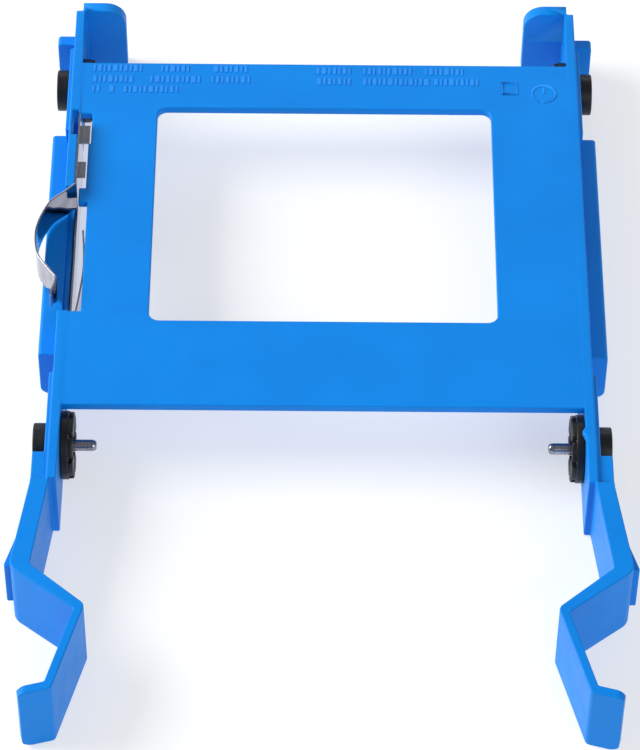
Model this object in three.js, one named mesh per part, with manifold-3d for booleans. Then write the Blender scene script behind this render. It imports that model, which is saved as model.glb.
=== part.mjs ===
// A drive caddy: a one-piece plastic tray that grips a 3.5-inch hard drive on four steel pins held in
// rubber grommets, with two squeeze-to-release arms at the front and a spring-steel grounding clip.
//
// Millimetres, +Z up. The tray lies with its plate on top and its side walls down. X is across, and Y runs
// from the release arms (front) to the drive stops (rear). While the parts are drawn, Y is measured from
// the front pins; the whole object is moved at the end so that its origin is at the bottom centre.

import * as THREE from "three";
import * as BufferGeometryUtils from "three/addons/utils/BufferGeometryUtils.js";
import Module from "manifold-3d";

const wasm = await Module();
wasm.setup();

// ---- driving dimensions ----------------------------------------------------------------------------

const GAP = 0.3; // clearance kept between neighbouring pieces

// The drive that the caddy holds: side holes 101.6 apart, 6.35 up from its circuit-board face.
const PIN_SPACING = 101.6;
const PIN_HEIGHT = 9.1;
const DRIVE_HALF_WIDTH = 50.8;

// Tray: side walls, and the plate that joins them.
const WALL_IN = 53.85;
const WALL_OUT = 55.85;
const WALL_TOP = 18;
const WALL_REAR = 119.8;
const WALL_CORNER = 3;
const PLATE_UNDER = 15.8;
const PLATE_TOP = 17.7;
const SHOULDER = 0.45;
const PLATE_FRONT = 3.9;
const PLATE_REAR = 102.1;
const WINDOW_HALF = 36.6;
const WINDOW_FRONT = 26.9;
const WINDOW_REAR = 88.4;
const WINDOW_CORNER = 2.2;

// Outside of the walls: grommet pads, guide rails and the short guide lugs behind the rear grommets.
const PAD_OUT = 56.7;
const PAD_TOP = 17;
const REAR_PAD = { front: 82.2, rear: 107.2 };
const FRONT_PAD_REAR = 13.2;
const GUIDE_TOP = 13;
const GUIDE_FOOT_ROUND = 2;
const GUIDE_TOP_ROUND = 0.8;
const RAIL = { front: 21.2, rear: 84.2, out: 59.7 };
const LUG = { front: 112.2, rear: 115, out: 60 };

const NIB = { front: -4.2, rear: -0.6, reach: 0.8, low: 16.6 };

// Drive stops: tabs that turn in from the rear ends of the walls.
const STOP = { front: 118.2, rear: 121, inner: 44.9, top: 17.7, corner: 4.5 };

// Release arms. Each one bends where the wall is thinnest, just in front of the front grommet.
const FLEX_Y = -7.4;
const ARM_WALL_END = -15.5;
const FLANGE_OUT = 59.1;
const FLANGE_END = -16.5;
const ELBOW_OUT = { x: 62.2, y: -37.7 };
const ELBOW_IN = { x: 57.95, y: -37.1 };
const KNEE = { x: 46.6, y: -46.9 };
const TOE = { x: 52.2, y: -67.2 };
const THUMB_OUT = 58.5;
const THUMB_DROP = 1.7;
const SHANK_THICK = 2.3;
const SHIN_THICK = 1.85;
const THUMB_THICK = 2;
const THUMB_CORNER = { top: 2, foot: 2.8 };
const BARB = { tip: 63.4, catchY: -35.4, rampY: -25, low: 2.8, high: 14.7 };
const POCKET = { rear: -12.5, front: -23.5, rib: 1.6, depth: 1.9, low: 3, high: 14 };

// Grommets and pins, along their own axis. Distances are from the middle of the tray.
const GROMMET = { disc: 7.1, discIn: 52.1, head: 4.55, headOut: 59.6, neck: 3.4, bore: 1.5 };
const LOBE = { face: 51.15, inner: 2.7, outer: 6.8, slot: 1.1, count: 8 };
const HEAD_POCKET = { radius: 3, depth: 1.1 };
const PIN = { radius: 1.2, tip: 46.6, point: 1.3, head: 2.7, headThick: 0.8 };

// Grounding clip, in a slot beside the left wall.
const SLOT = { inner: 50.9, front: 29.3, rear: 86.5 };
const BRIDGE = { front: 60.2, rear: 64.3 };
const NARROWS = { inner: 51.4, rear: 77.4 };
const NOTCH = { front: 29.3, rear: 64.5, floor: 13, step: 12.2 };
const REAR_NOTCH = { front: 80, rear: 87.3 };
const CLIP = { thick: 0.4, low: 5.5, top: 21, rear: 83.2, front: 31, rootY: 62.8 };
const BOW = { low: 13.5, taperY: 36, footLow: 17.4, footY: 30.6, reach: 62 };
const CLIP_TABS = [
  { front: 77.9, rear: 83.2, edge: SLOT.inner },
  { front: 67.8, rear: 72.4, edge: NARROWS.inner },
];
const TAB_TOP = 17.2;
const CLIP_LINE = WALL_IN - GAP - CLIP.thick / 2;

const CIRCLE_STEPS = 40;
const CORNER_STEPS = 5;

// ---- materials -------------------------------------------------------------------------------------

function plastic(name) {
  return new THREE.MeshStandardMaterial({ name, color: 0x178cec, roughness: 0.42, metalness: 0 });
}

function rubber(name) {
  return new THREE.MeshStandardMaterial({ name, color: 0x141416, roughness: 0.6, metalness: 0 });
}

function steel(name) {
  return new THREE.MeshStandardMaterial({ name, color: 0xb9bcc2, roughness: 0.22, metalness: 1 });
}

// ---- solids ----------------------------------------------------------------------------------------

function toSolid(geometry) {
  geometry.deleteAttribute("normal");
  geometry.deleteAttribute("uv");
  const merged = BufferGeometryUtils.mergeVertices(geometry, 1e-4);
  return new wasm.Manifold(new wasm.Mesh({
    numProp: 3,
    vertProperties: new Float32Array(merged.attributes.position.array),
    triVerts: new Uint32Array(merged.index.array),
  }));
}

function toGeometry(solid) {
  const mesh = solid.getMesh();
  const geometry = new THREE.BufferGeometry();
  geometry.setAttribute("position", new THREE.BufferAttribute(mesh.vertProperties, 3));
  geometry.setIndex(new THREE.BufferAttribute(mesh.triVerts, 1));
  geometry.computeVertexNormals();
  return geometry;
}

function union(solids) {
  return solids.reduce((whole, next) => whole.add(next));
}

function box(x0, x1, y0, y1, z0, z1) {
  const geometry = new THREE.BoxGeometry(Math.abs(x1 - x0), y1 - y0, z1 - z0);
  geometry.translate((x0 + x1) / 2, (y0 + y1) / 2, (z0 + z1) / 2);
  return toSolid(geometry);
}

// A shape drawn in plan (X, Y), standing between two heights.
function standing(shape, z0, z1) {
  const geometry = new THREE.ExtrudeGeometry(shape, {
    depth: z1 - z0, bevelEnabled: false, curveSegments: CORNER_STEPS,
  });
  geometry.translate(0, 0, z0);
  return toSolid(geometry);
}

// A shape drawn as seen from the front (X, Z), reaching from y0 back to y1.
function lengthwise(shape, y0, y1) {
  const geometry = new THREE.ExtrudeGeometry(shape, {
    depth: y1 - y0, bevelEnabled: false, curveSegments: CORNER_STEPS,
  });
  geometry.rotateX(Math.PI / 2);
  geometry.translate(0, y1, 0);
  return toSolid(geometry);
}

// A shape drawn as seen from the side (Y, Z), reaching across from x0 to x1.
function crosswise(shape, x0, x1) {
  const geometry = new THREE.ExtrudeGeometry(shape, {
    depth: Math.abs(x1 - x0), bevelEnabled: false, curveSegments: CORNER_STEPS,
  });
  geometry.applyMatrix4(new THREE.Matrix4().set(
    0, 0, 1, Math.min(x0, x1),
    1, 0, 0, 0,
    0, 1, 0, 0,
    0, 0, 0, 1,
  ));
  return toSolid(geometry);
}

// A round solid on an axis along X at (y, PIN_HEIGHT), from the middle of the tray out to one side.
// The profile is [radius, distance from the middle].
function turned(profile, side, y) {
  const points = profile.map(([radius, out]) => new THREE.Vector2(radius, out));
  const geometry = new THREE.LatheGeometry(points, CIRCLE_STEPS);
  geometry.rotateZ(side * -Math.PI / 2);
  geometry.translate(0, y, PIN_HEIGHT);
  return toSolid(geometry);
}

function cylinderAcross(radius, near, far, side, y) {
  return turned([[0, near], [radius, near], [radius, far], [0, far]], side, y);
}

// Corners [x, y, radius] joined by straight lines, each corner rounded by its radius.
function rounded(corners) {
  const shape = new THREE.Shape();
  corners.forEach(([x, y, radius = 0], i) => {
    const here = new THREE.Vector2(x, y);
    const before = corners[(i + corners.length - 1) % corners.length];
    const after = corners[(i + 1) % corners.length];
    const back = new THREE.Vector2(before[0], before[1]).sub(here).normalize();
    const ahead = new THREE.Vector2(after[0], after[1]).sub(here).normalize();
    const half = Math.acos(THREE.MathUtils.clamp(back.dot(ahead), -1, 1)) / 2;
    const cut = radius / Math.tan(half);
    const enter = here.clone().addScaledVector(back, cut);
    const leave = here.clone().addScaledVector(ahead, cut);
    if (i === 0) shape.moveTo(enter.x, enter.y);
    else shape.lineTo(enter.x, enter.y);
    if (radius > 0) {
      const middle = back.clone().add(ahead).normalize();
      const centre = here.clone().addScaledVector(middle, radius / Math.sin(half));
      const from = Math.atan2(enter.y - centre.y, enter.x - centre.x);
      const to = Math.atan2(leave.y - centre.y, leave.x - centre.x);
      const clockwise = back.cross(ahead) > 0;
      shape.absarc(centre.x, centre.y, radius, from, to, clockwise);
    }
  });
  shape.closePath();
  return shape;
}

// The plan outline of a bent sheet: a centre line given half the sheet's thickness on each side.
function sheetOutline(line, thickness) {
  const left = [];
  const right = [];
  line.forEach((point, i) => {
    const before = line[Math.max(i - 1, 0)];
    const after = line[Math.min(i + 1, line.length - 1)];
    const along = after.clone().sub(before).normalize();
    const across = new THREE.Vector2(-along.y, along.x).multiplyScalar(thickness / 2);
    left.push(point.clone().add(across));
    right.unshift(point.clone().sub(across));
  });
  return new THREE.Shape([...left, ...right]);
}

// ---- tray ------------------------------------------------------------------------------------------

// A guide rail or lug: square to the wall, rounded along its outer edges.
function guide(side, { front, rear, out: reach }) {
  const root = side * (WALL_OUT - 0.5);
  const out = side * reach;
  const section = rounded([
    [root, 0],
    [out, 0, GUIDE_FOOT_ROUND],
    [out, GUIDE_TOP, GUIDE_TOP_ROUND],
    [root, GUIDE_TOP],
  ]);
  return lengthwise(section, front, rear);
}

function stopTab(side) {
  const inner = side * STOP.inner;
  const root = side * (WALL_IN + 0.5);
  const face = rounded([
    [root, 0],
    [inner, 0],
    [inner, STOP.top, STOP.corner],
    [root, STOP.top],
  ]);
  return lengthwise(face, STOP.front, STOP.rear);
}

function sideWall(side) {
  const wallFront = FLEX_Y + GAP / 2;
  const elevation = rounded([
    [wallFront, 0],
    [WALL_REAR, 0],
    [WALL_REAR, WALL_TOP, WALL_CORNER],
    [wallFront, WALL_TOP],
  ]);
  return union([
    crosswise(elevation, side * WALL_IN, side * WALL_OUT),
    box(side * (WALL_OUT - 0.5), side * PAD_OUT, wallFront, FRONT_PAD_REAR, 0, PAD_TOP),
    box(side * (WALL_OUT - 0.5), side * PAD_OUT, REAR_PAD.front, REAR_PAD.rear, 0, PAD_TOP),
    guide(side, RAIL),
    guide(side, LUG),
    stopTab(side),
  ]);
}

function windowCut() {
  const outline = rounded([
    [-WINDOW_HALF, WINDOW_FRONT, WINDOW_CORNER],
    [WINDOW_HALF, WINDOW_FRONT, WINDOW_CORNER],
    [WINDOW_HALF, WINDOW_REAR, WINDOW_CORNER],
    [-WINDOW_HALF, WINDOW_REAR, WINDOW_CORNER],
  ]);
  return standing(outline, PLATE_UNDER - 1, WALL_TOP + 1);
}

// The plate lies a little lower than the walls, and slopes up to them along both sides.
function platePanel() {
  const root = WALL_IN + 0.5;
  const section = new THREE.Shape([
    new THREE.Vector2(-root, PLATE_UNDER),
    new THREE.Vector2(root, PLATE_UNDER),
    new THREE.Vector2(root, WALL_TOP),
    new THREE.Vector2(WALL_IN, WALL_TOP),
    new THREE.Vector2(WALL_IN - SHOULDER, PLATE_TOP),
    new THREE.Vector2(-WALL_IN + SHOULDER, PLATE_TOP),
    new THREE.Vector2(-WALL_IN, WALL_TOP),
    new THREE.Vector2(-root, WALL_TOP),
  ]);
  return lengthwise(section, PLATE_FRONT, PLATE_REAR);
}

// A small moulded nib on the inner side of the right wall, over the front grommet.
function wallNib() {
  const outline = new THREE.Shape([
    new THREE.Vector2(WALL_IN + 0.2, NIB.front),
    new THREE.Vector2(WALL_IN + 0.2, NIB.rear),
    new THREE.Vector2(WALL_IN - NIB.reach, (NIB.front + NIB.rear) / 2),
  ]);
  return standing(outline, NIB.low, WALL_TOP);
}

// The clip's slot through the plate: a slit for the strip, opened out in front of and behind a bridge.
function slotCuts() {
  const through = (inner, front, rear) => box(
    -WALL_IN, -inner, front, rear, PLATE_UNDER - 1, WALL_TOP + 1,
  );
  return [
    through(CLIP_LINE - CLIP.thick / 2 - GAP, SLOT.front, SLOT.rear),
    through(SLOT.inner, SLOT.front, BRIDGE.front),
    through(NARROWS.inner, BRIDGE.rear, NARROWS.rear),
    through(SLOT.inner, NARROWS.rear, SLOT.rear),
  ];
}

// The places where the left wall is lowered beside the clip: across its whole width where the bow leaves,
// a little deeper along the inner side, and at the rear along the inner side only.
function notchCuts() {
  const inner = -WALL_IN + 0.01;
  return [
    box(-WALL_OUT - 1, inner, NOTCH.front, NOTCH.rear, NOTCH.floor, WALL_TOP + 1),
    box(-WALL_OUT + 0.8, inner, NOTCH.front, NOTCH.rear, NOTCH.step, WALL_TOP + 1),
    box(-WALL_OUT + 0.7, inner, REAR_NOTCH.front, REAR_NOTCH.rear, NOTCH.floor, WALL_TOP + 1),
  ];
}

function tray() {
  const cuts = [windowCut(), ...slotCuts(), ...notchCuts()];
  for (const side of [-1, 1]) {
    for (const y of [0, PIN_SPACING]) {
      cuts.push(cylinderAcross(GROMMET.neck + GAP, WALL_IN - 1, PAD_OUT + 1, side, y));
    }
    // Relief in the underside of the plate for the flange of the rear grommet.
    cuts.push(cylinderAcross(GROMMET.disc + 0.5, LOBE.face - 0.5, WALL_IN, side, PIN_SPACING));
  }
  return union([platePanel(), sideWall(-1), sideWall(1), wallNib()]).subtract(union(cuts));
}

// ---- release arms ----------------------------------------------------------------------------------

function armPlan(side) {
  const wallStart = FLEX_Y - GAP / 2;
  const flangeStart = FLEX_Y - 0.5;
  const shank = new THREE.Vector2(KNEE.x - ELBOW_IN.x, KNEE.y - ELBOW_IN.y).normalize();
  const shankOut = new THREE.Vector2(-shank.y, shank.x).multiplyScalar(SHANK_THICK);
  const shin = new THREE.Vector2(TOE.x - KNEE.x, TOE.y - KNEE.y).normalize();
  const shinOut = new THREE.Vector2(-shin.y, shin.x).multiplyScalar(SHIN_THICK);
  const thumb = new THREE.Vector2(THUMB_OUT - TOE.x, -THUMB_DROP).normalize();
  const thumbBack = new THREE.Vector2(-thumb.y, thumb.x).multiplyScalar(THUMB_THICK);
  // Where the outer faces of the shank and the shin, and of the shin and the thumb tab, meet.
  const crotch = meet(
    { x: ELBOW_IN.x + shankOut.x, y: ELBOW_IN.y + shankOut.y }, shank,
    { x: KNEE.x + shinOut.x, y: KNEE.y + shinOut.y }, shin,
  );
  const cornerIn = meet(
    { x: KNEE.x + shinOut.x, y: KNEE.y + shinOut.y }, shin,
    { x: TOE.x + thumbBack.x, y: TOE.y + thumbBack.y }, thumb,
  );
  const thumbEnd = { x: THUMB_OUT, y: TOE.y - THUMB_DROP };
  return rounded([
    [side * WALL_IN, wallStart],
    [side * WALL_IN, ARM_WALL_END],
    [side * (WALL_OUT - 0.65), ARM_WALL_END],
    [side * ELBOW_IN.x, ELBOW_IN.y, 1],
    [side * KNEE.x, KNEE.y, 1.6],
    [side * TOE.x, TOE.y, 1.2],
    [side * thumbEnd.x, thumbEnd.y],
    [side * (thumbEnd.x + thumbBack.x), thumbEnd.y + thumbBack.y],
    [side * cornerIn.x, cornerIn.y, 0.6],
    [side * crotch.x, crotch.y, 0.6],
    [side * ELBOW_OUT.x, ELBOW_OUT.y, 3.2],
    [side * FLANGE_OUT, FLANGE_END],
    [side * FLANGE_OUT, flangeStart],
    [side * PAD_OUT, flangeStart],
    [side * PAD_OUT, wallStart],
  ]);
}

// The crossing of two lines, each given by a point and a direction.
function meet(p, along, q, other) {
  const t = ((q.x - p.x) * other.y - (q.y - p.y) * other.x) / (along.x * other.y - along.y * other.x);
  return { x: p.x + along.x * t, y: p.y + along.y * t };
}

// The outer face of the arm at a given Y, between the flange and the elbow.
function armOuter(y) {
  const share = (y - FLANGE_END) / (ELBOW_OUT.y - FLANGE_END);
  return FLANGE_OUT + (ELBOW_OUT.x - FLANGE_OUT) * share;
}

function barb(side) {
  const outline = new THREE.Shape([
    new THREE.Vector2(side * (armOuter(BARB.rampY) - 1), BARB.rampY),
    new THREE.Vector2(side * armOuter(BARB.rampY), BARB.rampY),
    new THREE.Vector2(side * BARB.tip, BARB.catchY + 0.6),
    new THREE.Vector2(side * BARB.tip, BARB.catchY),
    new THREE.Vector2(side * (armOuter(BARB.catchY) - 1), BARB.catchY),
  ]);
  return standing(outline, BARB.low, BARB.high);
}

// Shallow pockets in the arm's outer face, with a rib between them, that keep the moulding's wall even.
function armPockets(side) {
  const middle = (POCKET.rear + POCKET.front) / 2;
  const stretches = [
    [POCKET.rear, middle + POCKET.rib / 2],
    [middle - POCKET.rib / 2, POCKET.front],
  ];
  return union(stretches.map(([rear, front]) => {
    const outline = new THREE.Shape([
      new THREE.Vector2(side * (Math.max(armOuter(rear), FLANGE_OUT) - POCKET.depth), rear),
      new THREE.Vector2(side * (BARB.tip + 1), rear),
      new THREE.Vector2(side * (BARB.tip + 1), front),
      new THREE.Vector2(side * (armOuter(front) - POCKET.depth), front),
    ]);
    return standing(outline, POCKET.low, POCKET.high);
  }));
}

// The thumb tab's free corners are rounded as seen from the front.
function thumbTrim(side) {
  const out = side * (THUMB_OUT + 2);
  const keep = rounded([
    [side * (WALL_IN - 12), 0],
    [side * (THUMB_OUT + 0.6), 0, THUMB_CORNER.foot],
    [side * (THUMB_OUT + 0.6), WALL_TOP, THUMB_CORNER.top],
    [side * (WALL_IN - 12), WALL_TOP],
  ]);
  const rear = TOE.y + 4;
  const front = TOE.y - 5;
  return box(0, out, front, rear, -1, WALL_TOP + 1).subtract(lengthwise(keep, front - 1, rear + 1));
}

function releaseArm(side) {
  const body = standing(armPlan(side), 0, WALL_TOP).add(barb(side));
  // The flange at the arm's root is as low as the pad behind it.
  const step = box(
    side * WALL_OUT, side * (FLANGE_OUT + 1), ARM_WALL_END, FLEX_Y, PAD_TOP, WALL_TOP + 1,
  );
  return body.subtract(union([armPockets(side), thumbTrim(side), step]));
}

// ---- grommets and pins -----------------------------------------------------------------------------

// The bearing face of a grommet carries a ring of raised lobes, parted by radial slots.
function lobeRing(side, y) {
  const ring = turned([
    [LOBE.inner, LOBE.face],
    [LOBE.outer, LOBE.face],
    [LOBE.outer, GROMMET.discIn + 0.2],
    [LOBE.inner, GROMMET.discIn + 0.2],
    [LOBE.inner, LOBE.face],
  ], side, y);
  const slots = [];
  for (let i = 0; i < LOBE.count / 2; i += 1) {
    const bar = new THREE.BoxGeometry(1, LOBE.slot, 2 * GROMMET.disc);
    bar.translate(side * (GROMMET.discIn - 0.5), 0, 0);
    bar.rotateX(Math.PI * (i + 0.5) / (LOBE.count / 2));
    bar.translate(0, y, PIN_HEIGHT);
    slots.push(toSolid(bar));
  }
  return ring.subtract(union(slots));
}

function grommet(side, y) {
  const discOut = WALL_IN - GAP;
  const headIn = PAD_OUT + GAP;
  const body = turned([
    [GROMMET.bore, GROMMET.discIn],
    [GROMMET.disc - 0.5, GROMMET.discIn],
    [GROMMET.disc, GROMMET.discIn + 0.5],
    [GROMMET.disc, discOut],
    [GROMMET.neck, discOut],
    [GROMMET.neck, headIn],
    [GROMMET.head, headIn],
    [GROMMET.head, GROMMET.headOut - 0.7],
    [GROMMET.head - 0.7, GROMMET.headOut],
    [HEAD_POCKET.radius, GROMMET.headOut],
    [HEAD_POCKET.radius, GROMMET.headOut - HEAD_POCKET.depth],
    [GROMMET.bore, GROMMET.headOut - HEAD_POCKET.depth],
    [GROMMET.bore, GROMMET.discIn],
  ], side, y);
  return body.add(lobeRing(side, y));
}

function pin(side, y) {
  const headOut = GROMMET.headOut - HEAD_POCKET.depth + GAP + PIN.headThick;
  const headIn = headOut - PIN.headThick;
  return turned([
    [0, PIN.tip],
    [PIN.radius * 0.35, PIN.tip],
    [PIN.radius, PIN.tip + PIN.point],
    [PIN.radius, headIn],
    [PIN.head, headIn],
    [PIN.head, headOut - 0.25],
    [PIN.head - 0.25, headOut],
    [0, headOut],
  ], side, y);
}

// ---- grounding clip --------------------------------------------------------------------------------

// The part of the clip that sits still: a tall strip against the wall, two small tabs, and a finger that
// folds back from the strip's front end and leans in to touch the side of the drive.
function clipBase() {
  const tall = box(
    -CLIP_LINE - CLIP.thick / 2, -CLIP_LINE + CLIP.thick / 2,
    CLIP.rootY + GAP / 2, CLIP.rear, CLIP.low, CLIP.top,
  );
  const finger = new THREE.CatmullRomCurve3([
    new THREE.Vector3(-CLIP_LINE, CLIP.rootY + 2, 0),
    new THREE.Vector3(-CLIP_LINE, 50, 0),
    new THREE.Vector3(-CLIP_LINE, CLIP.front + 1, 0),
    new THREE.Vector3(-CLIP_LINE + 0.45, CLIP.front, 0),
    new THREE.Vector3(-CLIP_LINE + 0.9, CLIP.front + 1, 0),
    new THREE.Vector3(-DRIVE_HALF_WIDTH - 0.4, 45, 0),
    new THREE.Vector3(-DRIVE_HALF_WIDTH - 1, 56, 0),
  ]);
  const line = finger.getPoints(48).map((p) => new THREE.Vector2(p.x, p.y));
  const low = standing(sheetOutline(line, CLIP.thick), CLIP.low, BOW.low - GAP);
  const tabs = CLIP_TABS.map(({ front, rear, edge }) => box(
    -CLIP_LINE, -edge - GAP, front, rear, TAB_TOP - CLIP.thick, TAB_TOP,
  ));
  return union([tall, low, ...tabs]);
}

// The springing part: it leaves the strip through the lowered wall, bows out past the guide rail and
// comes back to a short free foot that flares out along the wall and tapers from below.
function clipBow() {
  const bow = new THREE.CatmullRomCurve3([
    new THREE.Vector3(-CLIP_LINE, CLIP.rootY - GAP / 2, 0),
    new THREE.Vector3(-55.4, 60.4, 0),
    new THREE.Vector3(-58.8, 56.8, 0),
    new THREE.Vector3(-61.1, 49.6, 0),
    new THREE.Vector3(-60.5, 42.6, 0),
    new THREE.Vector3(-58, 38.3, 0),
    new THREE.Vector3(-56.35, 35.6, 0),
    new THREE.Vector3(-56.95, 32.4, 0),
    new THREE.Vector3(-57.1, BOW.footY, 0),
  ]);
  const line = bow.getPoints(48).map((p) => new THREE.Vector2(p.x, p.y));
  const taper = new THREE.Shape([
    new THREE.Vector2(BOW.taperY, BOW.low - 1),
    new THREE.Vector2(BOW.taperY, BOW.low),
    new THREE.Vector2(BOW.footY, BOW.footLow),
    new THREE.Vector2(BOW.footY - 1, BOW.footLow),
    new THREE.Vector2(BOW.footY - 1, BOW.low - 1),
  ]);
  const ribbon = standing(sheetOutline(line, CLIP.thick), BOW.low, CLIP.top);
  return ribbon.subtract(crosswise(taper, -BOW.reach, -WALL_IN));
}

// ---- assembly --------------------------------------------------------------------------------------

const assembly = new THREE.Group();

function place(name, solid, material) {
  const mesh = new THREE.Mesh(toGeometry(solid), material);
  mesh.name = name;
  assembly.add(mesh);
}

place("tray", tray(), plastic("tray plastic"));
for (const [hand, side] of [["left", -1], ["right", 1]]) {
  place(`${hand}_release_arm`, releaseArm(side), plastic(`${hand} arm plastic`));
  for (const [end, y] of [["front", 0], ["rear", PIN_SPACING]]) {
    place(`${end}_${hand}_grommet`, grommet(side, y), rubber(`${end} ${hand} grommet rubber`));
    place(`${end}_${hand}_pin`, pin(side, y), steel(`${end} ${hand} pin steel`));
  }
}
place("grounding_clip", clipBase(), steel("clip steel"));
place("grounding_spring", clipBow(), steel("spring steel"));

const middle = new THREE.Box3().setFromObject(assembly).getCenter(new THREE.Vector3());
assembly.position.y = -middle.y;

const group = new THREE.Group();
group.add(assembly);

export default group;
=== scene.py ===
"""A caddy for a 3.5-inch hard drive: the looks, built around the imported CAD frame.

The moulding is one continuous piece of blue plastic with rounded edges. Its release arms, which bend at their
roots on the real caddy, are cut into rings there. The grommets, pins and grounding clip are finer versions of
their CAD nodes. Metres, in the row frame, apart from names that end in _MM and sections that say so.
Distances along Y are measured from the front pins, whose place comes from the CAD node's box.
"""

import math

import bmesh
import bpy
from mathutils import Matrix, Vector


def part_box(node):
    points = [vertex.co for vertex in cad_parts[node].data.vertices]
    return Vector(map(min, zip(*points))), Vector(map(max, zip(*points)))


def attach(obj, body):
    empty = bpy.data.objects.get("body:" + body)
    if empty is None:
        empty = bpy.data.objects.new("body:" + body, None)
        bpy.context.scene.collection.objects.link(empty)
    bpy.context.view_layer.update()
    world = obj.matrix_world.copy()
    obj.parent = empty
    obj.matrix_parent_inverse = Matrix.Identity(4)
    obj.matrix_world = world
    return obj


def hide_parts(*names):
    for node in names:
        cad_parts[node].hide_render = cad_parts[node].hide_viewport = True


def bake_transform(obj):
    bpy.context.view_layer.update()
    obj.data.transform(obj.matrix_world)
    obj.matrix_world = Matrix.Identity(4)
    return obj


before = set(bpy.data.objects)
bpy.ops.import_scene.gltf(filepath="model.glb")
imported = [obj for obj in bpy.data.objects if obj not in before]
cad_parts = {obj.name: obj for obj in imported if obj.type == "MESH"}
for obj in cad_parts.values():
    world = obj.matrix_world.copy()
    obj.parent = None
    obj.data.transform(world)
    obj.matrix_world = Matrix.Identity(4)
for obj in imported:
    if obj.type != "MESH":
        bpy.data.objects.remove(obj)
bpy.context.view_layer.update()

MM = 0.001
SIDES = {"left": -1, "right": 1}
ENDS = ("front", "rear")

# ---- places taken from the frame ----------------------------------------------------------------------


def middle_of(node):
    low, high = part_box(node)
    return (low + high) / 2


FRONT_PIN = middle_of("front_right_pin")
PIN_AXIS = {end: middle_of(f"{end}_right_pin") for end in ENDS}
TRAY_FRONT_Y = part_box("tray")[0].y
ARM_ROOT_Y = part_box("left_release_arm")[1].y
BOW_LOW, BOW_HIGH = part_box("grounding_spring")
STRIP_LOW, STRIP_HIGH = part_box("grounding_clip")
PLATE_TOP = 17.7 * MM  # the CAD's own value, which no node's box gives


def along(distance_mm):
    """Y in the row frame of a place that many millimetres behind the front pins."""
    return FRONT_PIN.y + distance_mm * MM


# ---- camera -------------------------------------------------------------------------------------------

VIEW_ELEVATION = 50.21
VIEW_AZIMUTH = -0.17
VIEW_ROLL = 0.58
VIEW_DISTANCE = 0.7829
VIEW_LENS = 179.1
VIEW_TARGET = Vector((-0.59 * MM, along(19.44), 9 * MM))
SENSOR_WIDTH = 36


def make_camera():
    elevation = math.radians(VIEW_ELEVATION)
    azimuth = math.radians(VIEW_AZIMUTH)
    back = Vector((
        math.sin(azimuth) * math.cos(elevation),
        -math.cos(azimuth) * math.cos(elevation),
        math.sin(elevation),
    ))
    right = Vector((math.cos(azimuth), math.sin(azimuth), 0))
    turned = Matrix((right, back.cross(right), back)).transposed()
    roll = Matrix.Rotation(math.radians(VIEW_ROLL), 3, "Z")
    camera = bpy.data.objects.new("camera", bpy.data.cameras.new("camera"))
    camera.data.sensor_width = SENSOR_WIDTH
    camera.data.lens = VIEW_LENS
    camera.data.clip_start = 0.01
    camera.data.clip_end = 20
    camera.matrix_world = Matrix.LocRotScale(VIEW_TARGET + back * VIEW_DISTANCE, turned @ roll, None)
    bpy.context.scene.collection.objects.link(camera)
    bpy.context.scene.camera = camera


# ---- materials ----------------------------------------------------------------------------------------

# A Mix node has a set of sockets for each kind of data. These are the share's and the colours' numbers.
MIX_SHARE = 0
MIX_FIRST = 6
MIX_SECOND = 7
MIX_RESULT = 2


class Finish:
    """A Principled material and the few calls that its patterns need."""

    def __init__(self, name, colour, roughness, **fixed):
        self.material = bpy.data.materials.new(name)
        self.material.use_nodes = True
        self.tree = self.material.node_tree
        self.shader = self.tree.nodes["Principled BSDF"]
        self.shader.inputs["Base Color"].default_value = (*colour, 1)
        self.shader.inputs["Roughness"].default_value = roughness
        for socket, value in fixed.items():
            self.shader.inputs[socket.replace("_", " ")].default_value = value
        self.place = self.node("ShaderNodeTexCoord").outputs["Object"]

    def node(self, kind, **settings):
        made = self.tree.nodes.new(kind)
        for name, value in settings.items():
            setattr(made, name, value)
        return made

    def stretched(self, x, y, z):
        mapping = self.node("ShaderNodeMapping")
        mapping.inputs["Scale"].default_value = (x, y, z)
        self.tree.links.new(self.place, mapping.inputs["Vector"])
        return mapping.outputs["Vector"]

    def noise(self, size_mm, detail=2, vector=None):
        made = self.node("ShaderNodeTexNoise")
        made.inputs["Scale"].default_value = 1 / (size_mm * MM)
        made.inputs["Detail"].default_value = detail
        self.tree.links.new(vector or self.place, made.inputs["Vector"])
        return made.outputs["Fac"]

    def spread(self, value, low, high):
        """value, a pattern from 0 to 1 that stays mostly near 0.5, widened and mapped to low..high."""
        made = self.node("ShaderNodeMapRange")
        made.inputs["From Min"].default_value = 0.3
        made.inputs["From Max"].default_value = 0.7
        made.inputs["To Min"].default_value = low
        made.inputs["To Max"].default_value = high
        self.tree.links.new(value, made.inputs["Value"])
        return made.outputs["Result"]

    def vary_colour(self, pattern, first, second):
        made = self.node("ShaderNodeMix", data_type="RGBA")
        made.inputs[MIX_FIRST].default_value = (*first, 1)
        made.inputs[MIX_SECOND].default_value = (*second, 1)
        self.tree.links.new(pattern, made.inputs[MIX_SHARE])
        self.tree.links.new(made.outputs[MIX_RESULT], self.shader.inputs["Base Color"])

    def vary_roughness(self, pattern, low, high):
        self.tree.links.new(self.spread(pattern, low, high), self.shader.inputs["Roughness"])

    def bump(self, *layers):
        """Each layer is (pattern, height in millimetres)."""
        below = None
        for pattern, height_mm in layers:
            made = self.node("ShaderNodeBump")
            made.inputs["Strength"].default_value = 1
            made.inputs["Distance"].default_value = height_mm * MM
            self.tree.links.new(pattern, made.inputs["Height"])
            if below:
                self.tree.links.new(below, made.inputs["Normal"])
            below = made.outputs["Normal"]
        self.tree.links.new(below, self.shader.inputs["Normal"])


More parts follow.
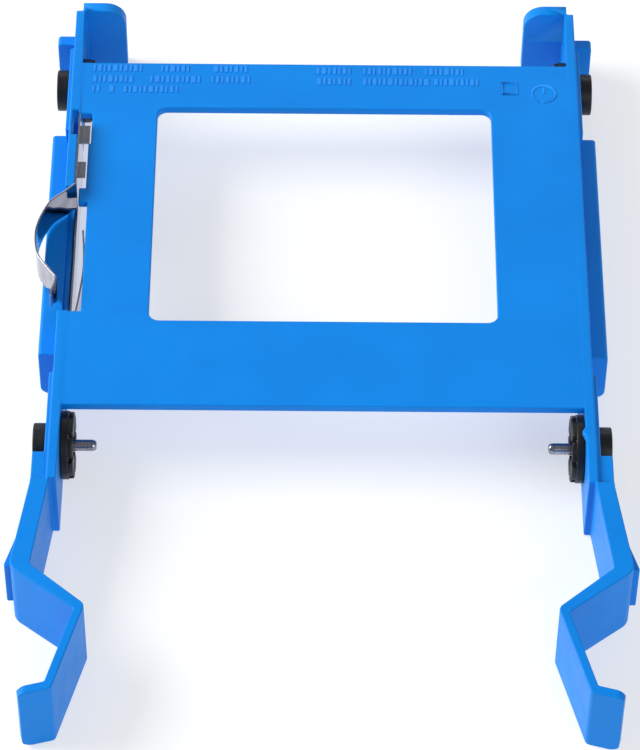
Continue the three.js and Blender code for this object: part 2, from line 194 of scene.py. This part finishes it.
def blue_plastic(name, colour):
    red, green, blue = colour
    made = Finish(name, colour, 0.44, Specular_IOR_Level=0.16)
    cloud = made.spread(made.noise(20, detail=3), 0, 1)
    made.vary_colour(cloud, (red, green * 0.93, blue * 0.95), (red, green * 1.05, blue * 1.04))
    made.vary_roughness(made.noise(6, detail=3), 0.39, 0.49)
    made.bump((made.noise(0.35), 0.004), (made.noise(4), 0.008))
    return made.material


def black_rubber():
    made = Finish("black_rubber", (0.004, 0.004, 0.005), 0.42, Specular_IOR_Level=0.4)
    made.vary_colour(made.spread(made.noise(1.6), 0, 1), (0.003, 0.003, 0.004), (0.008, 0.008, 0.009))
    made.vary_roughness(made.noise(2.5), 0.32, 0.55)
    made.bump((made.noise(0.25), 0.008))
    return made.material


def turned_steel():
    made = Finish("turned_steel", (0.3, 0.3, 0.34), 0.2, Metallic=1)
    rings = made.stretched(6, 1, 1)
    made.vary_colour(made.spread(made.noise(2, vector=rings), 0, 1), (0.24, 0.24, 0.28), (0.4, 0.4, 0.43))
    made.vary_roughness(made.noise(1.2, vector=rings), 0.14, 0.24)
    made.bump((made.noise(0.9, vector=rings), 0.001))
    return made.material


def spring_steel():
    made = Finish("spring_steel", (0.42, 0.41, 0.45), 0.08, Metallic=1)
    rolled = made.stretched(1, 0.08, 1)
    made.vary_colour(made.spread(made.noise(3), 0, 1), (0.36, 0.355, 0.4), (0.48, 0.475, 0.51))
    made.vary_roughness(made.noise(0.5, vector=rolled), 0.05, 0.12)
    made.bump((made.noise(0.4, vector=rolled), 0.0008))
    return made.material


def floor_finish():
    made = Finish(
        "floor_finish", (0.5, 0.5, 0.5), 0.85, Specular_IOR_Level=0.1,
        Emission_Color=(1, 1, 1, 1), Emission_Strength=0.55,
    )
    made.vary_colour(made.spread(made.noise(180), 0, 1), (0.49, 0.49, 0.49), (0.51, 0.51, 0.51))
    return made.material


# ---- mesh tools ---------------------------------------------------------------------------------------

WELD = 0.004 * MM
FLAT_ANGLE = math.radians(0.5)
SHARP_ANGLE = math.radians(40)
FLAT_FACE_WEIGHT = 80


def to_object(name, mesh, material, body=None):
    """Makes an object of a bmesh, shades it smooth, and lets it ride on its body."""
    bmesh.ops.recalc_face_normals(mesh, faces=mesh.faces)
    data = bpy.data.meshes.new(name)
    mesh.to_mesh(data)
    mesh.free()
    data.polygons.foreach_set("use_smooth", [True] * len(data.polygons))
    data.materials.append(material)
    made = bpy.data.objects.new(name, data)
    bpy.context.scene.collection.objects.link(made)
    if body:
        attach(made, body)
    return made


def soften(piece, width_mm, segments=2, angle=SHARP_ANGLE, marked=False):
    """Rounds the piece's edges that are sharper than angle, or only its marked ones, and keeps its flat faces
    flat between them."""
    bevel = piece.modifiers.new("rounded edges", "BEVEL")
    bevel.width = width_mm * MM
    bevel.segments = segments
    bevel.limit_method = "WEIGHT" if marked else "ANGLE"
    bevel.angle_limit = angle
    bevel.use_clamp_overlap = False
    bevel.loop_slide = False
    normals = piece.modifiers.new("flat faces", "WEIGHTED_NORMAL")
    normals.weight = FLAT_FACE_WEIGHT
    normals.keep_sharp = marked
    return piece


def near(value, other):
    return abs(value - other) < WELD


def slab(mesh, x, y, z):
    """Adds a closed block between pairs of X, Y and Z."""
    corners = [mesh.verts.new((x[i], y[j], z[k])) for i in (0, 1) for j in (0, 1) for k in (0, 1)]
    for quad in ((0, 1, 3, 2), (4, 6, 7, 5), (0, 4, 5, 1), (2, 3, 7, 6), (0, 2, 6, 4), (1, 5, 7, 3)):
        mesh.faces.new([corners[i] for i in quad])


def prism(mesh, outline, low, high):
    """Adds a closed solid with a plan outline of (x, y) points."""
    bottom = [mesh.verts.new((x, y, low)) for x, y in outline]
    top = [mesh.verts.new((x, y, high)) for x, y in outline]
    mesh.faces.new(bottom)
    mesh.faces.new(top)
    for i in range(len(outline)):
        j = (i + 1) % len(outline)
        mesh.faces.new((bottom[i], bottom[j], top[j], top[i]))


def lathe(mesh, profile, axis_y, axis_z, side, segments=96):
    """Adds a solid turned about an axis along X. profile holds (radius, distance out), in millimetres, and
    ends on the axis or closes on itself."""
    rings = []
    for radius, out in profile:
        x = side * out * MM
        if radius == 0:
            rings.append([mesh.verts.new((x, axis_y, axis_z))])
            continue
        ring = []
        for i in range(segments):
            turn = 2 * math.pi * i / segments
            y = axis_y + radius * MM * math.cos(turn)
            z = axis_z + radius * MM * math.sin(turn)
            ring.append(mesh.verts.new((x, y, z)))
        rings.append(ring)
    closed = profile[0][0] > 0
    pairs = list(zip(rings, rings[1:])) + ([(rings[-1], rings[0])] if closed else [])
    for first, second in pairs:
        for i in range(segments):
            j = (i + 1) % segments
            if len(first) == 1:
                mesh.faces.new((first[0], second[i], second[j]))
            elif len(second) == 1:
                mesh.faces.new((first[i], first[j], second[0]))
            else:
                mesh.faces.new((first[i], first[j], second[j], second[i]))


# ---- moulding -----------------------------------------------------------------------------------------

EDGE_ROUND_MM = 0.3
SEAM_Y = along(-4.5)
FLEX_END_Y = along(-11.7)
FLEX_RINGS = 5
RUN_OUT_X = 53.5 * MM
RUN_OUT_Z = 17 * MM
RUN_OUT_FRONT = along(117.9)
RUN_OUT_REAR = along(118.5)


def whole_faces(mesh):
    """Welds split vertices and joins the triangles of each flat face."""
    bmesh.ops.remove_doubles(mesh, verts=mesh.verts, dist=WELD)
    bmesh.ops.dissolve_limit(
        mesh, angle_limit=FLAT_ANGLE, verts=mesh.verts, edges=mesh.edges, delimit={"SEAM"},
    )


def shape_of(node):
    mesh = bmesh.new()
    mesh.from_mesh(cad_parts[node].data)
    whole_faces(mesh)
    return mesh


def cut(mesh, place, normal=(0, 1, 0)):
    """Cuts the faces along a plane, keeps both sides, and gives back the new edges."""
    geometry = mesh.verts[:] + mesh.edges[:] + mesh.faces[:]
    made = bmesh.ops.bisect_plane(mesh, geom=geometry, dist=WELD, plane_co=place, plane_no=normal)
    return [part for part in made["geom_cut"] if isinstance(part, bmesh.types.BMEdge)]


def open_end(mesh, y):
    """Removes the faces that lie in the plane at y."""
    ends = [f for f in mesh.faces if all(near(v.co.y, y) for v in f.verts)]
    bmesh.ops.delete(mesh, geom=ends, context="FACES_ONLY")


def one_moulding():
    """The tray and both arms as one body, with the splits at the arms' roots closed up."""
    whole = shape_of("tray")
    open_end(whole, TRAY_FRONT_Y)
    for hand in SIDES:
        arm = shape_of(f"{hand}_release_arm")
        open_end(arm, ARM_ROOT_Y)
        for v in arm.verts:
            if near(v.co.y, ARM_ROOT_Y):
                v.co.y = TRAY_FRONT_Y
        joined = bpy.data.meshes.new("joined")
        arm.to_mesh(joined)
        arm.free()
        whole.from_mesh(joined)
        bpy.data.meshes.remove(joined)
    # Through the holes' axes and down the middle, so that no flat face goes all the way round a hole.
    for normal in ((0, 0, 1), (1, 0, 0)):
        for edge in cut(whole, (0, 0, FRONT_PIN.z), normal):
            edge.seam = True
    whole_faces(whole)
    return whole


def part_of(whole, keep):
    part = whole.copy()
    others = [f for f in part.faces if not keep(f.calc_center_median())]
    bmesh.ops.delete(part, geom=others, context="FACES")
    return part


def runs_out(place):
    """Whether a place is where a stop's top runs out into the wall, with steps too small to round."""
    return abs(place.x) > RUN_OUT_X and place.z > RUN_OUT_Z and RUN_OUT_FRONT < place.y < RUN_OUT_REAR


def mark_edges(mesh):
    """Marks the sharp edges to round. Those that meet a run-out stay as they are, and are shaded sharp."""
    to_round = mesh.edges.layers.float.new("bevel_weight_edge")
    for edge in mesh.edges:
        if any(runs_out(v.co) for v in edge.verts):
            edge.smooth = False
        elif edge.is_manifold and edge.calc_face_angle() > SHARP_ANGLE:
            edge[to_round] = 1


def build_moulding(material):
    whole = one_moulding()
    mark_edges(whole)
    cut(whole, (0, SEAM_Y, 0))
    tray = part_of(whole, lambda c: c.y > SEAM_Y)
    piece = to_object("tray_moulding", tray, material, "tray")
    soften(piece, EDGE_ROUND_MM, segments=3, marked=True)
    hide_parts("tray")
    for hand, side in SIDES.items():
        arm = part_of(whole, lambda c, side=side: c.y < SEAM_Y and c.x * side > 0)
        for i in range(1, FLEX_RINGS + 1):
            cut(arm, (0, SEAM_Y + (FLEX_END_Y - SEAM_Y) * i / FLEX_RINGS, 0))
        piece = to_object(f"{hand}_arm_moulding", arm, material)
        soften(piece, EDGE_ROUND_MM, segments=3, marked=True)
        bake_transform(piece)
        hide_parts(f"{hand}_release_arm")
    whole.free()


# ---- raised marks -------------------------------------------------------------------------------------
# Groups of plain bars, a square and a dial stand for the moulding's raised marks. None of them is lettering.

MARK_RAISE = 0.16 * MM
MARK_HEIGHT_MM = 2
BAR_ROWS = (
    # distance behind the front pins, then the (first X, last X) of each group, in millimetres
    (100.3, ((-51.2, -40.3), (-36.2, -29.6), (-24.6, -16.5))),
    (97, ((-51.2, -42.1), (-38.6, -26.4), (-25, -16.3))),
    (93.9, ((-51.2, -49.5), (-47.5, -46), (-44.3, -32.2))),
    (99.9, ((-1.7, 6.4), (8.6, 20.2), (22.3, 31.1))),
    (96.7, ((-1.7, 6.4), (8.6, 23.4), (24.3, 34.6))),
)
BAR_WIDTHS_MM = (0.45, 0.8, 0.45, 0.6, 1, 0.5, 0.7)
BAR_SPACE_MM = 0.5
LONGEST_GROUP = 40
FRAME_LINE_MM = 0.45
SQUARE = {"x_mm": 40.9, "distance": 94.9, "radius_mm": 2.6, "corners": 4, "turn": math.pi / 4}
DIAL = {"x_mm": 48.4, "distance": 93.4, "radius_mm": 2.8, "corners": 40}
DIAL_HAND_MM = (48.15, 48.65)
DIAL_HAND_END = 95.1
MARK_ROUND_MM = 0.09


def raised_slab(mesh, x_mm, y):
    slab(mesh, [x * MM for x in x_mm], y, (PLATE_TOP - MARK_RAISE, PLATE_TOP + MARK_RAISE))


def bar_group(mesh, first, last, distance, offset):
    x = first
    y = along(distance)
    half = MARK_HEIGHT_MM * MM / 2
    for i in range(offset, offset + LONGEST_GROUP):
        width = BAR_WIDTHS_MM[i % len(BAR_WIDTHS_MM)]
        if x + width > last:
            return
        raised_slab(mesh, (x, x + width), (y - half, y + half))
        x += width + BAR_SPACE_MM


def frame_mark(mesh, x_mm, distance, radius_mm, corners, turn=0.0):
    """A raised outline: a ring with many corners, or a square with four."""
    centre = Vector((x_mm * MM, along(distance)))
    inner_mm = radius_mm - FRAME_LINE_MM
    for i in range(corners):
        outline = []
        for step, radius in ((i, radius_mm), (i + 1, radius_mm), (i + 1, inner_mm), (i, inner_mm)):
            angle = turn + 2 * math.pi * step / corners
            outline.append((
                centre.x + radius * MM * math.cos(angle),
                centre.y + radius * MM * math.sin(angle),
            ))
        prism(mesh, outline, PLATE_TOP - MARK_RAISE, PLATE_TOP + MARK_RAISE)
    bmesh.ops.remove_doubles(mesh, verts=mesh.verts, dist=WELD)


def build_marks(material):
    mesh = bmesh.new()
    for row, (distance, groups) in enumerate(BAR_ROWS):
        for i, (first, last) in enumerate(groups):
            bar_group(mesh, first, last, distance, row + 2 * i)
    frame_mark(mesh, **SQUARE)
    frame_mark(mesh, **DIAL)
    raised_slab(mesh, DIAL_HAND_MM, (along(DIAL["distance"]), along(DIAL_HAND_END)))
    piece = to_object("raised_marks", mesh, material, "tray")
    soften(piece, MARK_ROUND_MM)


# ---- grommets and pins --------------------------------------------------------------------------------
# In millimetres: radii, and distances out from the middle of the tray.

DISC_RADIUS = 7.1
DISC_FACE = 52.1
DISC_BACK = 53.85
LOBE_FACE = 51.15
LOBE_INNER = 2.7
LOBE_OUTER = 6.9
LOBE_COUNT = 8
LOBE_GAP = 1.1
LOBE_ROOT = 52.4
LOBE_STEPS = 10
HEAD_RADIUS = 4.55
HEAD_BACK = 56.7
HEAD_FACE = 59.6
NECK_RADIUS = 3.4
BORE_RADIUS = 1.2
HEAD_POCKET_RADIUS = 3
HEAD_POCKET_FACE = 58.5
RUBBER_ROUND = 0.28
PIN_RADIUS = 1.2
PIN_HEAD_RADIUS = 2.7
PIN_HEAD_THICK = 0.8
PIN_POINT = ((0, 0), (0.75, 0), (1.1, 0.35), (1.2, 0.9))  # radius, distance behind the tip
PIN_ROUND = 0.12
PIN_SHARP_ANGLE = math.radians(35)


def lobe(mesh, centre, side, turn):
    """One raised lobe of the grommet's bearing face: a sector between two radial slots."""
    outline = []
    for radius, order in ((LOBE_OUTER, 1), (LOBE_INNER, -1)):
        half = math.pi / LOBE_COUNT - math.asin(LOBE_GAP / 2 / radius)
        steps = [i / LOBE_STEPS for i in range(LOBE_STEPS + 1)]
        for step in steps[::order]:
            angle = turn - half + 2 * half * step
            outline.append((radius * MM * math.cos(angle), radius * MM * math.sin(angle)))
    faces = []
    for out in (LOBE_FACE, LOBE_ROOT):
        faces.append([mesh.verts.new((side * out * MM, centre.y + y, centre.z + z)) for y, z in outline])
    mesh.faces.new(faces[0])
    mesh.faces.new(faces[1])
    for i in range(len(outline)):
        j = (i + 1) % len(outline)
        mesh.faces.new((faces[0][i], faces[0][j], faces[1][j], faces[1][i]))


def build_grommet(end, hand, material):
    side = SIDES[hand]
    centre = PIN_AXIS[end]
    mesh = bmesh.new()
    profile = [
        (BORE_RADIUS, DISC_FACE),
        (DISC_RADIUS, DISC_FACE),
        (DISC_RADIUS, DISC_BACK),
        (NECK_RADIUS, DISC_BACK),
        (NECK_RADIUS, HEAD_BACK),
        (HEAD_RADIUS, HEAD_BACK),
        (HEAD_RADIUS, HEAD_FACE),
        (HEAD_POCKET_RADIUS, HEAD_FACE),
        (HEAD_POCKET_RADIUS, HEAD_POCKET_FACE),
        (BORE_RADIUS, HEAD_POCKET_FACE),
    ]
    lathe(mesh, profile, centre.y, centre.z, side)
    for i in range(LOBE_COUNT):
        lobe(mesh, centre, side, 2 * math.pi * i / LOBE_COUNT)
    piece = to_object(f"{end}_{hand}_rubber", mesh, material, "tray")
    soften(piece, RUBBER_ROUND, segments=3)
    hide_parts(f"{end}_{hand}_grommet")


def build_pin(end, hand, material):
    side = SIDES[hand]
    centre = PIN_AXIS[end]
    low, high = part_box(f"{end}_{hand}_pin")
    tip = min(abs(low.x), abs(high.x)) / MM
    head = max(abs(low.x), abs(high.x)) / MM
    mesh = bmesh.new()
    profile = [(radius, tip + behind) for radius, behind in PIN_POINT] + [
        (PIN_RADIUS, head - PIN_HEAD_THICK),
        (PIN_HEAD_RADIUS, head - PIN_HEAD_THICK),
        (PIN_HEAD_RADIUS, head),
        (0, head),
    ]
    lathe(mesh, profile, centre.y, centre.z, side, segments=64)
    piece = to_object(f"{end}_{hand}_steel_pin", mesh, material, "tray")
    soften(piece, PIN_ROUND, angle=PIN_SHARP_ANGLE)
    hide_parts(f"{end}_{hand}_pin")


# ---- grounding clip -----------------------------------------------------------------------------------
# In millimetres: X, and distances behind the front pins.

STRIP_THICK = 0.4
STRIP_X = -53.35
BOW_ROOT = 62.65
SLIT_END = 62.3
FINGER_START = 50
FINGER_PATH = (
    # (X, distance), folded back at the front and leaning in at its free end
    (STRIP_X, 46), (STRIP_X, 32), (STRIP_X + 0.45, 31), (STRIP_X + 0.9, 32), (-51.2, 45), (-51.8, 56),
)
CLIP_TABS = (
    # (front, rear, inner end's X)
    (77.9, 83.2, -51.2),
    (67.8, 72.4, -51.7),
)
BOW_PATH = (
    # (X, distance)
    (-53.35, 62.65), (-55.4, 60.4), (-58.8, 56.8), (-61.1, 49.6), (-60.5, 42.6),
    (-58, 38.3), (-56.35, 35.6), (-56.95, 32.4), (-57.1, 30.6),
)
TAPER_START = 36
FINGER_STEPS = 10
BOW_STEPS = 12
STEEL_ROUND = 0.07

# Heights, in metres.
TAB_TOP = 17.2 * MM
FOOT_LOW = 17.4 * MM
SLIT = 0.3 * MM


def smooth_path(points, steps):
    """A Catmull-Rom curve through points, in equal numbers of steps between them."""
    held = [points[0], *points, points[-1]]
    path = []
    for i in range(1, len(held) - 2):
        before, start, end, after = (Vector(p) for p in held[i - 1:i + 3])
        for step in range(steps):
            t = step / steps
            path.append(0.5 * (
                2 * start + (end - before) * t + (2 * before - 5 * start + 4 * end - after) * t * t
                + (3 * start - before - 3 * end + after) * t * t * t
            ))
    path.append(Vector(points[-1]))
    return path


def ribbon(mesh, path, edges_at):
    """Adds an upright bent strip. path is in millimetres; edges_at gives the strip's low and high edge at a
    point of the path."""
    rows = []
    for i, point in enumerate(path):
        ahead = (path[min(i + 1, len(path) - 1)] - path[max(i - 1, 0)]).normalized()
        across = Vector((-ahead.y, ahead.x)) * STRIP_THICK / 2
        low, high = edges_at(point)
        row = []
        for offset, z in ((across, low), (across, high), (-across, high), (-across, low)):
            edge = point + offset
            row.append(mesh.verts.new((edge.x * MM, along(edge.y), z)))
        rows.append(row)
    for first, second in zip(rows, rows[1:]):
        for i in range(4):
            j = (i + 1) % 4
            mesh.faces.new((first[i], first[j], second[j], second[i]))
    mesh.faces.new(rows[0])
    mesh.faces.new(rows[-1])


def bow_edges(point):
    share = max(0, (TAPER_START - point.y) / (TAPER_START - BOW_PATH[-1][1]))
    return BOW_LOW.z + (FOOT_LOW - BOW_LOW.z) * share, BOW_HIGH.z


def strip_edges(point):
    return STRIP_LOW.z, STRIP_HIGH.z if point.y > (SLIT_END + BOW_ROOT) / 2 else BOW_LOW.z - SLIT


def build_clip(material):
    rear_end = (STRIP_HIGH.y - FRONT_PIN.y) / MM
    straight = [Vector((STRIP_X, y)) for y in (rear_end, BOW_ROOT, SLIT_END, FINGER_START)]
    mesh = bmesh.new()
    ribbon(mesh, straight + smooth_path(FINGER_PATH, FINGER_STEPS), strip_edges)
    for front, rear, inner in CLIP_TABS:
        slab(
            mesh, (STRIP_X * MM, inner * MM), (along(front), along(rear)),
            (TAB_TOP - STRIP_THICK * MM, TAB_TOP),
        )
    piece = to_object("clip_strip", mesh, material, "tray")
    soften(piece, STEEL_ROUND)
    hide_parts("grounding_clip")

    mesh = bmesh.new()
    ribbon(mesh, smooth_path(BOW_PATH, BOW_STEPS), bow_edges)
    piece = to_object("clip_bow", mesh, material)
    soften(piece, STEEL_ROUND)
    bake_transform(piece)
    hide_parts("grounding_spring")


# ---- stage --------------------------------------------------------------------------------------------

FLOOR_HALF = 3
FLOOR_DROP = 0.02 * MM


def build_floor():
    mesh = bmesh.new()
    bmesh.ops.create_grid(mesh, x_segments=8, y_segments=8, size=FLOOR_HALF)
    floor = to_object("floor", mesh, floor_finish())
    floor.location.z = -FLOOR_DROP


def soft_light(name, place, aim, size, power, colour):
    light = bpy.data.lights.new(name, "AREA")
    light.shape = "RECTANGLE"
    light.size, light.size_y = size
    light.energy = power
    light.color = colour
    made = bpy.data.objects.new(name, light)
    made.location = place
    made.rotation_mode = "QUATERNION"
    made.rotation_quaternion = (Vector(aim) - Vector(place)).to_track_quat("-Z", "Y")
    bpy.context.scene.collection.objects.link(made)


def light_scene():
    world = bpy.data.worlds.new("studio")
    world.use_nodes = True
    world.node_tree.nodes["Background"].inputs["Color"].default_value = (0.9, 0.95, 1, 1)
    world.node_tree.nodes["Background"].inputs["Strength"].default_value = 0.3
    bpy.context.scene.world = world
    soft_light("key", (-1.15, 0.25, 0.85), (0, 0, 0), (0.9, 0.9), 25, (1, 0.99, 0.97))
    soft_light("rear", (0.1, 1.25, 0.75), (0, 0, 0), (1.4, 0.6), 3, (1, 1, 1))
    soft_light("front", (0.75, -1.05, 0.75), (0, -0.05, 0), (1.1, 0.8), 8, (0.97, 0.98, 1))
    bpy.context.scene.view_settings.view_transform = "Standard"


# ---- the whole scene ----------------------------------------------------------------------------------

make_camera()
build_moulding(blue_plastic("blue_plastic", (0.0, 0.22, 0.73)))
# The marks get a lighter copy of the blue plastic. It is a painted highlight, the light that their raised
# faces catch; they are the tray's own plastic.
build_marks(blue_plastic("blue_plastic_marks_painted_highlight", (0.02, 0.27, 0.82)))
rubber = black_rubber()
steel = turned_steel()
for end in ENDS:
    for hand in SIDES:
        build_grommet(end, hand, rubber)
        build_pin(end, hand, steel)
build_clip(spring_steel())
build_floor()
light_scene()
